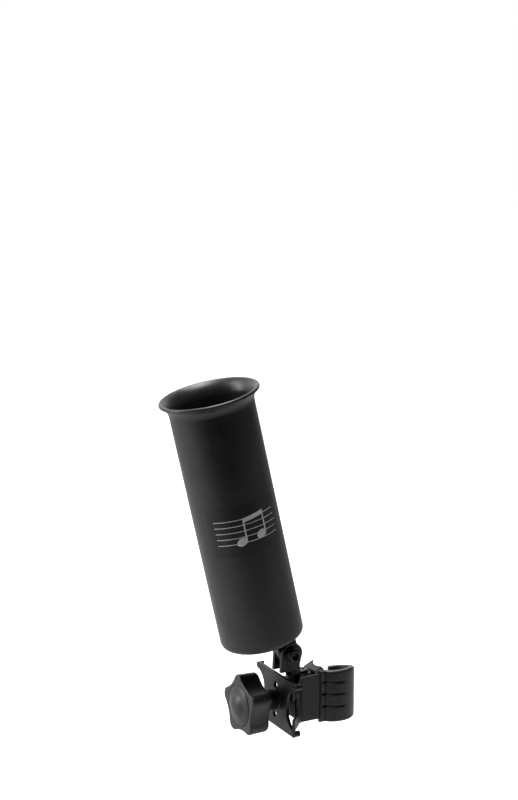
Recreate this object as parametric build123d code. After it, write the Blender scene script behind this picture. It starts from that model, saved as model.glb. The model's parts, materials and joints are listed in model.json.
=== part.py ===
from build123d import *
import math
import os

# Drum stick cup on a screw clamp, in millimetres.
# Origin: where the stand tube's axis crosses the clamp screw's axis.
# +Z runs up the tube, -X runs from the tube to the knob, and +-Y runs along the tilt bolt.

RUN = 0.05  # clearance where one piece turns or slides on another
SEAT = 0.03  # clearance between pieces that are fixed together

# Stand tube the clamp is made for, 22.2 mm (7/8 inch)
TUBE_WALL_R = 11.2

# Hook: a steel strap in a rubber boot. Its arm runs beside the carrier, closer in than the tube's radius,
# so the hook turns outwards where it meets the tube.
STRAP_T = 1.6
STRAP_IN_R = 11.8
STRAP_OUT_R = STRAP_IN_R + STRAP_T
ARM_IN_Y = -7.7
ARM_OUT_Y = ARM_IN_Y - STRAP_T
STRAP_LOW = -14.6
STRAP_HIGH = 13.9
HOOK_TIP_DEG = 58.0
BEND_X = -27.1  # inside of the bend where the arm flares out to the wing plate
FLARE_DEG = 47.0
LEG_X = -31.0
LEG_LOW = -13.1
LEG_HIGH = 10.4
WINDOW_LOW = -5.5
WINDOW_HIGH = 6.5
WINDOW_X = -32.5
WINDOW_CORNER_R = 2.5
TAB_END_X = -42.2
TAB_LOW = -16.8
TAB_HIGH = 14.2
BOOT_R = 14.7
BOOT_COLLAR_T = 0.9
BOOT_LOW = -17.0
BOOT_HIGH = 15.5
BOOT_BACK_X = -13.6
BOOT_TIP_DEG = 66.0
TAPER_Y = -11.0  # from here to the tip the hook's top edge falls
TAPER_DEG = 14.0
BOOT_GROOVES_Z = (8.5, 1.0, -6.8)
BOOT_GROOVE_END_DEG = -84.0
BOOT_GROOVE_W = 1.7
BOOT_GROOVE_DEPTH = 0.55
BOOT_GROOVE_INSET = 1.0  # plain band between the collar's end and the grooves

# Wing plate and the threaded boss welded into it
PLATE_FRONT = -40.0
PLATE_BACK = -38.0
PLATE_MID_Z = -0.2
PLATE_TWIST_DEG = 3.0  # how far the plate is turned about the screw, near side down
PLATE_HALF_H = 16.65
PLATE_HALF_W = 23.5
NOTCH_R = 10.0
WING_TIP_H = 3.6
WING_TIP_R = 1.7
WING_LIP_T = 2.0  # the wing tips are bent back into short lips
WING_LIP_BACK = -35.6
PLATE_HOLE_R = 2.1
PLATE_HOLE_DZ = 9.3
BOSS_R = 6.3
BOSS_FRONT = -47.0
BOSS_SPIGOT_R = 5.0
BOSS_CHAMFER = 0.6

# Clamp screw, M8 x 1.25, and the knob
SCREW_R = 3.95
SCREW_FRONT = -63.0
SCREW_TIP = -25.35
SCREW_TIP_CHAMFER = 0.8
GROOVE_R = 3.0
CLIP_X = (-28.3, -27.3)
CLIP_R = 5.3
CLIP_GAP = 4.4
INSERT_FLAT_R = 6.5
INSERT_X = (-63.0, -57.0)
KNOB_FRONT = -65.4
KNOB_BACK = -51.8
KNOB_LOBES = 5
KNOB_LOBE_R = 19.1
KNOB_VALLEY_R = 15.0
KNOB_LOBE_ROUND = 4.6
KNOB_FIRST_LOBE_DEG = 24.0
KNOB_FRONT_ROUND = 1.0
KNOB_BACK_ROUND = 1.6
KNOB_HUB_R = 6.3
CAP_R = 12.4
CAP_RISE = 2.4
NUB_R = 6.8
NUB_BASE = 1.5  # the nub's foot in front of the knob's front face
NUB_RISE = 2.2

# Carrier that the screw pushes against the tube
BLOCK_X = (-30.3, -18.0)
BLOCK_Y = (-7.6, 8.5)
BLOCK_Z = (-12.0, 10.6)
BLOCK_ROUND = 1.2
RETAINER_X = -28.8
THRUST_X = (-25.3, -24.5)
CAVITY_R = 6.2
SHOE_BACK = -18.0
SHOE_LIP_BACK = -14.9
SHOE_FRONT = -7.4
SHOE_Y = (-6.5, 8.5)
SHOE_HIGH = 15.0  # at the back of the lip; its top rises from there to the front
SHOE_FRONT_HIGH = 18.5
SHOE_CHAMFER = 1.6
SHOE_SCREW_Y = (-3.4, 4.4)
SHOE_SCREW_Z = -7.0
SHOE_SCREW_R = 1.7
SHOE_SCREW_START = -24.0
SHOE_HEAD_X = (-12.8, -11.4)
SHOE_HEAD_R = 2.7

# Swivel bracket
SWIVEL_X = -21.0
SWIVEL_SCREW_R = 2.5
SWIVEL_SCREW_END = -1.0
SWIVEL_HEAD_R = 4.2
SWIVEL_HEAD_H = 2.0
SWIVEL_WASHER_R = 5.3
SWIVEL_WASHER_T = 0.9
SWIVEL_WASHER_CHAMFER = 0.3
FOOT_LOW = 10.65
FOOT_T = 2.35
FOOT_END_R = 5.6
FOOT_SWEEP_R = 10.0  # below the step everything stays inside this radius, clear of the strap beside it
EAR_IN = 3.1
EAR_OUT = 5.5
EAR_BACK_X = -25.5
EAR_NECK_W = 8.0
EAR_FRONT_X = -39.1
EAR_STEP_Z = 17.5  # clear of the turned wing plate, which the ears pass over as the bracket swivels
EAR_SHOULDER_Z = 21.5
EAR_HEAD_R = 7.3
PIVOT_X = -31.1
PIVOT_Z = 27.9
TILT_BOLT_R = 2.5
TILT_HEAD_R = 4.6
TILT_HEAD_H = 3.0
TILT_HEAD_ROUND = 1.0
TILT_SOCKET_R = 2.3
TILT_SOCKET_DEPTH = 1.7
TILT_WASHER_R = 5.4
TILT_WASHER_T = 0.9
TILT_NUT_FLAT_R = 4.0
TILT_NUT_H = 4.0
TILT_NUT_COLLAR_R = 3.5
TILT_NUT_HEX_SHARE = 0.75  # the hexagon's part of the nut's height; the rest is the collar
TILT_BOLT_PROUD = 1.0
FRICTION_WASHER_R = 6.4

# Cup, in its own frame: local Z is the cup's axis and local z = 0 is its underside
CUP_LEAN_DEG = 13.4
CUP_BOTTOM = (-48.7, 0.0, 40.0)
CUP_R = 25.4
CUP_WALL = 2.2
CUP_IN_R = CUP_R - CUP_WALL
CUP_FLOOR = 3.0
CUP_FILLET_R = 3.3
CUP_EDGE_R = 3.8
CUP_STRAIGHT = 147.5
RIM_FLARE_R = 8.0
RIM_FLARE_DEG = 60.0
RIM_LIP_DEG = 6.5
LUG_TONGUE_HALF = 2.4
LUG_END_R = 6.8
LUG_FLANGE_T = 4.0
LUG_FLANGE_X = (1.5, 20.4)
LUG_FLANGE_HALF_Y = 7.8
LUG_FLANGE_ROUND = 3.0
LUG_WEB_INSET = (5.0, 0.6)  # from the flange's two ends to the web
LUG_SCREW_X = 10.5
LUG_SCREW_Y = 5.2
LUG_SCREW_R = 1.95
LUG_SCREW_PROUD = 0.4
LUG_HEAD_R = 3.6
LUG_HEAD_H = 2.0
LUG_WASHER_R = 4.3
LUG_WASHER_T = 0.8
PAD_T = 3.0
PAD_R = 19.8
PAD_HOLE_R = 4.8
LABEL_T = 0.15
LABEL_W = 48.0
LABEL_H = 30.0
LABEL_MID_Z = 78.5
LABEL_DEG = -104.0
LABEL_GAP = 0.01

# Pan heads, as shares of the head's own radius or height
PAN_ROUND = 0.45
PAN_ARM = 0.55
PAN_ARM_HALF_W = 0.13
PAN_RECESS_FROM = 0.45

FROM_BASE = (Align.CENTER, Align.CENTER, Align.MIN)
FAR = 60.0  # beyond every face, for cutting tools
OVER = 1.0  # how far a cutting tool or a joined stub runs past a face
TOL = 0.01  # for picking edges and corners by their place


def rod_x(x_range, radius):
    """Round bar about the clamp screw's axis."""
    low, high = x_range
    return Pos(low, 0, 0) * Rot(0, 90, 0) * Cylinder(radius, high - low, align=FROM_BASE)


def rod_y(x, z, y_range, radius):
    """Round bar along Y through (x, z)."""
    low, high = y_range
    return Pos(x, high, z) * Rot(90, 0, 0) * Cylinder(radius, high - low, align=FROM_BASE)


def rod_z(x, y, z_range, radius):
    """Round bar along Z through (x, y)."""
    low, high = z_range
    return Pos(x, y, low) * Cylinder(radius, high - low, align=FROM_BASE)


def block(x_range, y_range, z_range):
    """Box between two opposite corners."""
    size = [high - low for low, high in (x_range, y_range, z_range)]
    low = [r[0] for r in (x_range, y_range, z_range)]
    return Pos(*low) * Box(*size, align=(Align.MIN, Align.MIN, Align.MIN))


def polar(radius, degrees):
    """The point at that radius and angle, as (x, y)."""
    angle = math.radians(degrees)
    return (radius * math.cos(angle), radius * math.sin(angle))


def circles(shape, axis, end):
    """The round edges at one end of a shape: 0 is the low end along that axis, -1 the high end."""
    return shape.edges().filter_by(GeomType.CIRCLE).group_by(axis)[end]


def hook_outline(in_r, out_r, tip_deg, arm_y, back_x):
    """Plan of the hook: an arm along X between the two arm_y, then a ring round the tube to the tip."""
    arm_in, arm_out = arm_y
    join_deg = -180 + math.degrees(math.asin(-arm_in / in_r))
    join_x = polar(in_r, join_deg)[0]
    with BuildSketch() as sketch:
        with BuildLine():
            CenterArc((0, 0), out_r, join_deg, tip_deg - join_deg)
            Line(polar(out_r, tip_deg), polar(in_r, tip_deg))
            CenterArc((0, 0), in_r, join_deg, tip_deg - join_deg)
            Line(polar(in_r, join_deg), polar(out_r, join_deg))
        make_face()
        with BuildLine():
            Polyline((back_x, arm_in), (join_x, arm_in), (join_x, arm_out), (back_x, arm_out), close=True)
        make_face()
    return sketch.sketch


def flare_outline():
    """Plan of the strap's outer end: it leans out from the arm by FLARE_DEG and passes the plate's notch."""
    slope = math.tan(math.radians(FLARE_DEG))
    outer_bend_x = BEND_X + STRAP_T * math.tan(math.radians(FLARE_DEG / 2))
    return Polygon(
        (BEND_X, ARM_IN_Y),
        (TAB_END_X, ARM_IN_Y - (BEND_X - TAB_END_X) * slope),
        (TAB_END_X, ARM_OUT_Y - (outer_bend_x - TAB_END_X) * slope),
        (outer_bend_x, ARM_OUT_Y),
        align=None,
    )


def strap_side():
    """The strap seen from the side, in (x, z): full height, then two legs round a window, then their tabs."""
    front = PLATE_FRONT - RUN
    with BuildSketch() as sketch:
        with BuildLine():
            Polyline(
                (FAR, STRAP_LOW),
                (BEND_X, STRAP_LOW),
                (LEG_X, LEG_LOW),
                (front, LEG_LOW),
                (front, TAB_LOW),
                (TAB_END_X, TAB_LOW),
                (TAB_END_X, WINDOW_LOW),
                (WINDOW_X, WINDOW_LOW),
                (WINDOW_X, WINDOW_HIGH),
                (TAB_END_X, WINDOW_HIGH),
                (TAB_END_X, TAB_HIGH),
                (front, TAB_HIGH),
                (front, LEG_HIGH),
                (LEG_X, LEG_HIGH),
                (BEND_X, STRAP_HIGH),
                (FAR, STRAP_HIGH),
                close=True,
            )
        make_face()
        fillet(sketch.vertices().filter_by(lambda v: abs(v.X - WINDOW_X) < TOL), WINDOW_CORNER_R)
    return sketch.sketch


def tip_taper(top):
    """Wedge for cutting the ring's top, from its middle outwards, so that the top falls towards the tip."""
    drop = (FAR - TAPER_Y) * math.tan(math.radians(TAPER_DEG))
    side = Polygon((TAPER_Y, top), (FAR, top - drop), (FAR, FAR), (TAPER_Y, FAR), align=None)
    return extrude(Plane.YZ * side, FAR)


def hook_strap():
    """Steel strap. Its two legs pass the plate's near notch, and their wider ends hook over its front."""
    plan = hook_outline(STRAP_IN_R, STRAP_OUT_R, HOOK_TIP_DEG, (ARM_IN_Y, ARM_OUT_Y), BEND_X)
    plan += flare_outline()
    strip = Pos(0, 0, -FAR) * extrude(plan, 2 * FAR)
    across = Plane(origin=(0, FAR, 0), x_dir=(1, 0, 0), z_dir=(0, -1, 0))
    return (strip & extrude(across * strap_side(), 2 * FAR)) - tip_taper(STRAP_HIGH)


def hook_boot():
    """Rubber sleeve over the hook, closed over the strap's tip, with three grooves in its near side."""
    collar_y = (ARM_IN_Y + BOOT_COLLAR_T, ARM_OUT_Y - BOOT_COLLAR_T)
    outline = hook_outline(TUBE_WALL_R, BOOT_R, BOOT_TIP_DEG, collar_y, BOOT_BACK_X)
    boot = Pos(0, 0, BOOT_LOW) * extrude(outline, BOOT_HIGH - BOOT_LOW)
    boot -= tip_taper(BOOT_HIGH)
    pocket_tip_deg = HOOK_TIP_DEG + math.degrees(SEAT / STRAP_IN_R)
    pocket = extrude(
        hook_outline(
            STRAP_IN_R - SEAT,
            STRAP_OUT_R + SEAT,
            pocket_tip_deg,
            (ARM_IN_Y + SEAT, ARM_OUT_Y - SEAT),
            BOOT_BACK_X - OVER,
        ),
        STRAP_HIGH - STRAP_LOW + 2 * SEAT,
    )
    boot -= (Pos(0, 0, STRAP_LOW - SEAT) * pocket) - tip_taper(STRAP_HIGH + SEAT)
    groove = hook_outline(
        BOOT_R - BOOT_GROOVE_DEPTH,
        BOOT_R + OVER,
        BOOT_GROOVE_END_DEG,
        (collar_y[1] + BOOT_GROOVE_DEPTH, collar_y[1] - OVER),
        BOOT_BACK_X + BOOT_GROOVE_INSET,
    )
    for z in BOOT_GROOVES_Z:
        boot -= Pos(0, 0, z - BOOT_GROOVE_W / 2) * extrude(groove, BOOT_GROOVE_W)
    return boot


def wing_outline():
    """Butterfly outline in the plate's own plane: straight top and bottom, a notch in each side."""
    corner_z = PLATE_HALF_H - WING_TIP_H
    waist_y = PLATE_HALF_W - NOTCH_R
    mid_z = corner_z - NOTCH_R
    near = math.sqrt(0.5) * NOTCH_R
    with BuildSketch() as sketch:
        with BuildLine():
            for side in (1, -1):
                tip_y = side * PLATE_HALF_W
                waist = side * waist_y
                bow_y = side * (PLATE_HALF_W - near)
                Line((tip_y, PLATE_HALF_H), (tip_y, corner_z))
                ThreePointArc((tip_y, corner_z), (bow_y, mid_z + near), (waist, mid_z))
                Line((waist, mid_z), (waist, -mid_z))
                ThreePointArc((waist, -mid_z), (bow_y, -mid_z - near), (tip_y, -corner_z))
                Line((tip_y, -corner_z), (tip_y, -PLATE_HALF_H))
            for level in (PLATE_HALF_H, -PLATE_HALF_H):
                Line((-PLATE_HALF_W, level), (PLATE_HALF_W, level))
        make_face()
        tips = sketch.vertices().filter_by(lambda v: abs(v.X) > PLATE_HALF_W - TOL)
        fillet(tips, WING_TIP_R)
    return sketch.sketch


def wing_plate():
    """Pressed steel plate with four wings, lips at their tips, a boss hole and two small round holes."""
    thickness = PLATE_BACK - PLATE_FRONT
    lip_depth = WING_LIP_BACK - PLATE_FRONT
    lip_from = PLATE_HALF_W - WING_LIP_T
    plane = Plane(origin=(PLATE_FRONT, 0, PLATE_MID_Z), x_dir=(0, 1, 0), z_dir=(1, 0, 0))
    plate = extrude(plane * wing_outline(), thickness)
    deep = extrude(plane * wing_outline(), lip_depth)
    plate += deep - block((-FAR, 0), (-lip_from, lip_from), (-FAR, FAR))
    through = (PLATE_FRONT - OVER, PLATE_BACK + OVER)
    plate -= rod_x(through, BOSS_SPIGOT_R + SEAT)
    for dz in (PLATE_HOLE_DZ, -PLATE_HOLE_DZ):
        plate -= Pos(0, 0, PLATE_MID_Z + dz) * rod_x(through, PLATE_HOLE_R)
    return Rot(PLATE_TWIST_DEG, 0, 0) * plate


def thread_boss():
    """Threaded boss that the clamp screw runs in; its spigot fills the plate's middle hole."""
    boss = rod_x((BOSS_FRONT, PLATE_FRONT), BOSS_R)
    boss = chamfer(circles(boss, Axis.X, 0), BOSS_CHAMFER)
    boss += rod_x((PLATE_FRONT, PLATE_BACK), BOSS_SPIGOT_R)
    return boss - rod_x((BOSS_FRONT - OVER, PLATE_BACK + OVER), SCREW_R + RUN)


def clamp_screw():
    """M8 screw with its core groove for the retaining clip. The thread is drawn as its outer cylinder."""
    screw = rod_x((SCREW_FRONT, SCREW_TIP), SCREW_R)
    groove = rod_x(CLIP_X, SCREW_R + OVER) - rod_x(CLIP_X, GROOVE_R)
    screw -= groove
    return chamfer(circles(screw, Axis.X, -1), SCREW_TIP_CHAMFER)


def knob_insert():
    """Hexagonal steel insert moulded into the knob."""
    low, high = INSERT_X
    plane = Plane(origin=(low, 0, 0), x_dir=(0, 1, 0), z_dir=(1, 0, 0))
    hexagon = RegularPolygon(INSERT_FLAT_R, 6, major_radius=False)
    insert = extrude(plane * hexagon, high - low)
    return insert - rod_x((low - OVER, high + OVER), SCREW_R + SEAT)


def lobe_outline():
    """Five lobes joined by shallow hollows, seen along the screw."""
    step = 360 / KNOB_LOBES
    corner_half_deg = 90 - step / 2
    corner_r = KNOB_LOBE_R + KNOB_LOBE_ROUND * (1 / math.sin(math.radians(corner_half_deg)) - 1)
    with BuildSketch() as sketch:
        with BuildLine():
            for i in range(KNOB_LOBES):
                start = KNOB_FIRST_LOBE_DEG + i * step
                ThreePointArc(
                    polar(corner_r, start),
                    polar(KNOB_VALLEY_R, start + step / 2),
                    polar(corner_r, start + step),
                )
        make_face()
        fillet(sketch.vertices(), KNOB_LOBE_ROUND)
    return sketch.sketch


def knob_plane(x):
    """Plane square to the screw, seen from the knob's front: its x axis is -Y and its y axis is +Z."""
    return Plane(origin=(x, 0, 0), x_dir=(0, -1, 0), z_dir=(-1, 0, 0))


def knob_body():
    """Five-lobed plastic knob with a round hub, hollowed for its insert and its cap."""
    thickness = KNOB_BACK - KNOB_FRONT
    knob = extrude(knob_plane(KNOB_BACK) * lobe_outline(), thickness)
    front_edges = knob.edges().filter_by(lambda e: abs(e.center().X - KNOB_FRONT) < TOL)
    knob = fillet(front_edges, KNOB_FRONT_ROUND)
    back_edges = knob.edges().filter_by(lambda e: abs(e.center().X - KNOB_BACK) < TOL)
    knob = fillet(back_edges, KNOB_BACK_ROUND)
    knob += rod_x((KNOB_BACK - OVER, BOSS_FRONT - RUN), KNOB_HUB_R)
    knob -= rod_x((KNOB_FRONT - OVER, INSERT_X[0]), CAP_R + SEAT)
    insert_plane = Plane(origin=(INSERT_X[0], 0, 0), x_dir=(0, 1, 0), z_dir=(1, 0, 0))
    hexagon = RegularPolygon(INSERT_FLAT_R + SEAT, 6, major_radius=False)
    knob -= extrude(insert_plane * hexagon, INSERT_X[1] - INSERT_X[0] + SEAT)
    return knob - rod_x((INSERT_X[0], BOSS_FRONT), SCREW_R + SEAT)


def dome(x_base, radius, rise):
    """Spherical cap on the plane x = x_base, bulging towards -X."""
    sphere_r = (radius**2 + rise**2) / (2 * rise)
    ball = Pos(x_base + sphere_r - rise, 0, 0) * Sphere(sphere_r)
    return ball & rod_x((x_base - rise - OVER, x_base), radius)


def knob_cap():
    """Domed cap pressed into the knob's front, with a smaller dome at its middle."""
    cap = rod_x((KNOB_FRONT, INSERT_X[0] - SEAT), CAP_R)
    cap += dome(KNOB_FRONT, CAP_R, CAP_RISE)
    return cap + dome(KNOB_FRONT - NUB_BASE, NUB_R, NUB_RISE)


def screw_clip():
    """Retaining clip in the screw's groove: a flat ring with one open side."""
    low, high = CLIP_X
    thick = (low + RUN, high - RUN)
    ring = rod_x(thick, CLIP_R) - rod_x(thick, GROOVE_R + SEAT)
    return ring - block(thick, (-CLIP_GAP / 2, CLIP_GAP / 2), (0, CLIP_R + OVER))


def carrier_block():
    """Cast block: thrust pocket for the screw in front, threaded hole for the swivel screw on top."""
    cast = block(BLOCK_X, BLOCK_Y, BLOCK_Z)
    cast = fillet(cast.edges().filter_by(Axis.X), BLOCK_ROUND)
    cast -= rod_x((BLOCK_X[0] - OVER, THRUST_X[0]), CAVITY_R)
    cast -= rod_x((THRUST_X[0], THRUST_X[1]), CLIP_R)
    cast -= rod_z(SWIVEL_X, 0, (SWIVEL_SCREW_END - SEAT, BLOCK_Z[1] + OVER), SWIVEL_SCREW_R + SEAT)
    for y in SHOE_SCREW_Y:
        hole = rod_x((SHOE_SCREW_START - SEAT, BLOCK_X[1] + OVER), SHOE_SCREW_R + SEAT)
        cast -= Pos(0, y, SHOE_SCREW_Z) * hole
    return cast


def retainer_ring():
    """Ring pressed into the pocket's mouth, which keeps the clip and so the screw in the block."""
    span = (BLOCK_X[0], RETAINER_X)
    return rod_x(span, CAVITY_R - SEAT) - rod_x(span, SCREW_R + RUN)


def thrust_washer():
    """Hard washer at the bottom of the pocket, which the screw's tip bears on."""
    return rod_x((THRUST_X[0] + SEAT, THRUST_X[1] - SEAT), CLIP_R - SEAT)


def shoe_side():
    """Side view of the shoe in (x, z): a lip above the block, its top rising to the front."""
    back = SHOE_BACK + SEAT
    return Polygon(
        (back, BLOCK_Z[0]),
        (SHOE_FRONT, BLOCK_Z[0]),
        (SHOE_FRONT, SHOE_FRONT_HIGH),
        (SHOE_LIP_BACK, SHOE_HIGH),
        (SHOE_LIP_BACK, BLOCK_Z[1] + SEAT),
        (back, BLOCK_Z[1] + SEAT),
        align=None,
    )


def saddle_shoe():
    """Plastic shoe screwed to the block: hollowed to the tube's radius, with a lip above the block."""
    plane = Plane(origin=(0, SHOE_Y[1], 0), x_dir=(1, 0, 0), z_dir=(0, -1, 0))
    shoe = extrude(plane * shoe_side(), SHOE_Y[1] - SHOE_Y[0])
    high_edges = shoe.edges().filter_by(lambda e: e.center().Z > SHOE_HIGH + TOL)
    top_edges = high_edges.filter_by(lambda e: abs(e.tangent_at(0).X) > TOL)
    shoe = chamfer(top_edges, SHOE_CHAMFER)
    shoe -= rod_z(0, 0, (BLOCK_Z[0] - OVER, SHOE_FRONT_HIGH + OVER), TUBE_WALL_R)
    for y in SHOE_SCREW_Y:
        shoe -= Pos(0, y, SHOE_SCREW_Z) * rod_x((SHOE_BACK, 0), SHOE_SCREW_R + SEAT)
        shoe -= Pos(0, y, SHOE_SCREW_Z) * rod_x((SHOE_HEAD_X[0], 0), SHOE_HEAD_R + SEAT)
    return shoe


def shoe_screws():
    """The two small screws that hold the shoe low down on the block, heads sunk below its hollow."""
    shank = rod_x((SHOE_SCREW_START, SHOE_HEAD_X[0]), SHOE_SCREW_R)
    screw = shank + rod_x(SHOE_HEAD_X, SHOE_HEAD_R)
    return Compound([Pos(0, y, SHOE_SCREW_Z) * screw for y in SHOE_SCREW_Y])


def pan_head(x, z_low, radius, rise):
    """Pan head on the plane z = z_low, with rounded top edge and a cross recess."""
    head = rod_z(x, 0, (z_low, z_low + rise), radius)
    head = fillet(circles(head, Axis.Z, -1), PAN_ROUND * rise)
    arm = PAN_ARM * radius
    half = PAN_ARM_HALF_W * radius
    depth = (z_low + PAN_RECESS_FROM * rise, z_low + rise + OVER)
    head -= block((x - arm, x + arm), (-half, half), depth)
    return head - block((x - half, x + half), (-arm, arm), depth)


def swivel_screw():
    """Screw the bracket turns about: pan head, shank into the block."""
    top = FOOT_LOW + FOOT_T + RUN + SWIVEL_WASHER_T + SEAT
    shank = rod_z(SWIVEL_X, 0, (SWIVEL_SCREW_END, top), SWIVEL_SCREW_R)
    return shank + pan_head(SWIVEL_X, top, SWIVEL_HEAD_R, SWIVEL_HEAD_H)


def swivel_washer():
    """Dished washer under the swivel screw's head."""
    low = FOOT_LOW + FOOT_T + RUN
    washer = rod_z(SWIVEL_X, 0, (low, low + SWIVEL_WASHER_T), SWIVEL_WASHER_R)
    washer = chamfer(circles(washer, Axis.Z, -1), SWIVEL_WASHER_CHAMFER)
    return washer - rod_z(SWIVEL_X, 0, (low - OVER, low + SWIVEL_WASHER_T + OVER), SWIVEL_SCREW_R + SEAT)


def ear_outline():
    """Side view of one ear: a neck on the foot, stepped forward above the plate, with a round head."""
    with BuildSketch() as sketch:
        with BuildLine():
            Polyline(
                (PIVOT_X + EAR_HEAD_R, PIVOT_Z),
                (EAR_BACK_X, EAR_SHOULDER_Z),
                (EAR_BACK_X, FOOT_LOW),
                (EAR_BACK_X - EAR_NECK_W, FOOT_LOW),
                (EAR_BACK_X - EAR_NECK_W, EAR_STEP_Z),
                (EAR_FRONT_X, EAR_STEP_Z),
                (PIVOT_X - EAR_HEAD_R, PIVOT_Z),
            )
            CenterArc((PIVOT_X, PIVOT_Z), EAR_HEAD_R, 0, 180)
        make_face()
    return sketch.sketch


def swivel_bracket():
    """Steel clevis: a foot under the swivel screw and two ears that carry the tilt bolt."""
    foot = block((EAR_BACK_X - EAR_NECK_W, SWIVEL_X), (-EAR_OUT, EAR_OUT), (FOOT_LOW, FOOT_LOW + FOOT_T))
    foot += rod_z(SWIVEL_X, 0, (FOOT_LOW, FOOT_LOW + FOOT_T), FOOT_END_R)
    plane = Plane(origin=(0, EAR_OUT, 0), x_dir=(1, 0, 0), z_dir=(0, -1, 0))
    ears = extrude(plane * ear_outline(), 2 * EAR_OUT)
    ears -= block((-FAR, 0), (-EAR_IN, EAR_IN), (FOOT_LOW - OVER, FAR))
    low_zone = rod_z(SWIVEL_X, 0, (FOOT_LOW, EAR_STEP_Z), FOOT_SWEEP_R)
    high_zone = block((-FAR, 0), (-FAR, FAR), (EAR_STEP_Z, FAR))
    bracket = ((foot + ears) & low_zone) + (ears & high_zone)
    bracket -= rod_z(SWIVEL_X, 0, (FOOT_LOW - OVER, FOOT_LOW + FOOT_T + OVER), SWIVEL_SCREW_R + RUN)
    return bracket - rod_y(PIVOT_X, PIVOT_Z, (-FAR, FAR), TILT_BOLT_R + SEAT)


def tilt_bolt():
    """Hexagon-socket bolt through both ears, head on the -Y side."""
    seat = -EAR_OUT - TILT_WASHER_T
    top = seat - TILT_HEAD_H
    end = EAR_OUT + TILT_WASHER_T + TILT_NUT_H + TILT_BOLT_PROUD
    shank = rod_y(PIVOT_X, PIVOT_Z, (seat, end), TILT_BOLT_R)
    head = rod_y(PIVOT_X, PIVOT_Z, (top, seat), TILT_HEAD_R)
    head = fillet(circles(head, Axis.Y, 0), TILT_HEAD_ROUND)
    plane = Plane(origin=(PIVOT_X, top, PIVOT_Z), x_dir=(1, 0, 0), z_dir=(0, -1, 0))
    socket = extrude(plane * RegularPolygon(TILT_SOCKET_R, 6), -TILT_SOCKET_DEPTH)
    return shank + (head - socket)


def tilt_nut():
    """Lock nut on the +Y side: a hexagon with a round nylon collar."""
    low = EAR_OUT + TILT_WASHER_T
    plane = Plane(origin=(PIVOT_X, low, PIVOT_Z), x_dir=(1, 0, 0), z_dir=(0, -1, 0))
    hexagon = RegularPolygon(TILT_NUT_FLAT_R, 6, major_radius=False)
    nut = extrude(plane * hexagon, -TILT_NUT_HEX_SHARE * TILT_NUT_H)
    nut += rod_y(PIVOT_X, PIVOT_Z, (low, low + TILT_NUT_H), TILT_NUT_COLLAR_R)
    return nut - rod_y(PIVOT_X, PIVOT_Z, (low - OVER, low + TILT_NUT_H + OVER), TILT_BOLT_R + SEAT)


def ring_y(y_range, out_r):
    """Flat ring on the tilt bolt."""
    return rod_y(PIVOT_X, PIVOT_Z, y_range, out_r) - rod_y(PIVOT_X, PIVOT_Z, y_range, TILT_BOLT_R + RUN)


def tilt_washers():
    """One flat washer under the bolt's head and one under the nut."""
    outer = EAR_OUT + TILT_WASHER_T
    return Compound([
        ring_y((-outer + SEAT, -EAR_OUT - SEAT), TILT_WASHER_R),
        ring_y((EAR_OUT + SEAT, outer - SEAT), TILT_WASHER_R),
    ])


def friction_washers():
    """Plastic friction washers between the cup's tongue and the two ears."""
    low = LUG_TONGUE_HALF + RUN
    high = EAR_IN - SEAT
    return Compound([ring_y((-high, -low), FRICTION_WASHER_R), ring_y((low, high), FRICTION_WASHER_R)])


def in_cup(shape):
    """Places a shape from the cup's own frame into the leaning cup."""
    return Pos(*CUP_BOTTOM) * Rot(0, -CUP_LEAN_DEG, 0) * shape


def pivot_in_cup():
    """The tilt axis in the cup's own frame."""
    lean = math.radians(CUP_LEAN_DEG)
    dx = PIVOT_X - CUP_BOTTOM[0]
    dz = PIVOT_Z - CUP_BOTTOM[2]
    return (dx * math.cos(lean) + dz * math.sin(lean), -dx * math.sin(lean) + dz * math.cos(lean))


def cup_profile():
    """Half section of the cup: rounded edge, straight wall, flared rim with a round lip, filleted floor."""
    centre = (CUP_R + RIM_FLARE_R, CUP_STRAIGHT)
    inner_flare_r = RIM_FLARE_R + CUP_WALL

    def on_flare(radius, degrees):
        x, z = polar(radius, 180 - degrees)
        return (centre[0] + x, centre[1] + z)

    edge_bow = CUP_EDGE_R * (1 - math.sqrt(0.5))
    fillet_top = CUP_FLOOR + CUP_FILLET_R
    fillet_x = CUP_IN_R - CUP_FILLET_R
    fillet_bow = CUP_FILLET_R * (1 - math.sqrt(0.5))
    with BuildSketch() as sketch:
        with BuildLine():
            Line((0, 0), (CUP_R - CUP_EDGE_R, 0))
            ThreePointArc((CUP_R - CUP_EDGE_R, 0), (CUP_R - edge_bow, edge_bow), (CUP_R, CUP_EDGE_R))
            Line((CUP_R, CUP_EDGE_R), (CUP_R, CUP_STRAIGHT))
            CenterArc(centre, RIM_FLARE_R, 180, -RIM_FLARE_DEG)
            ThreePointArc(
                on_flare(RIM_FLARE_R, RIM_FLARE_DEG),
                on_flare(RIM_FLARE_R + CUP_WALL / 2, RIM_FLARE_DEG + RIM_LIP_DEG),
                on_flare(inner_flare_r, RIM_FLARE_DEG),
            )
            CenterArc(centre, inner_flare_r, 180, -RIM_FLARE_DEG)
            Line((CUP_IN_R, CUP_STRAIGHT), (CUP_IN_R, fillet_top))
            ThreePointArc(
                (CUP_IN_R, fillet_top),
                (CUP_IN_R - fillet_bow, CUP_FLOOR + fillet_bow),
                (fillet_x, CUP_FLOOR),
            )
            Polyline((fillet_x, CUP_FLOOR), (0, CUP_FLOOR), (0, 0))
        make_face()
    return sketch.sketch


def lug_screw_places():
    """Where the two lug screws stand, in the cup's own (x, y)."""
    return [(LUG_SCREW_X, LUG_SCREW_Y), (LUG_SCREW_X, -LUG_SCREW_Y)]


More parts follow.
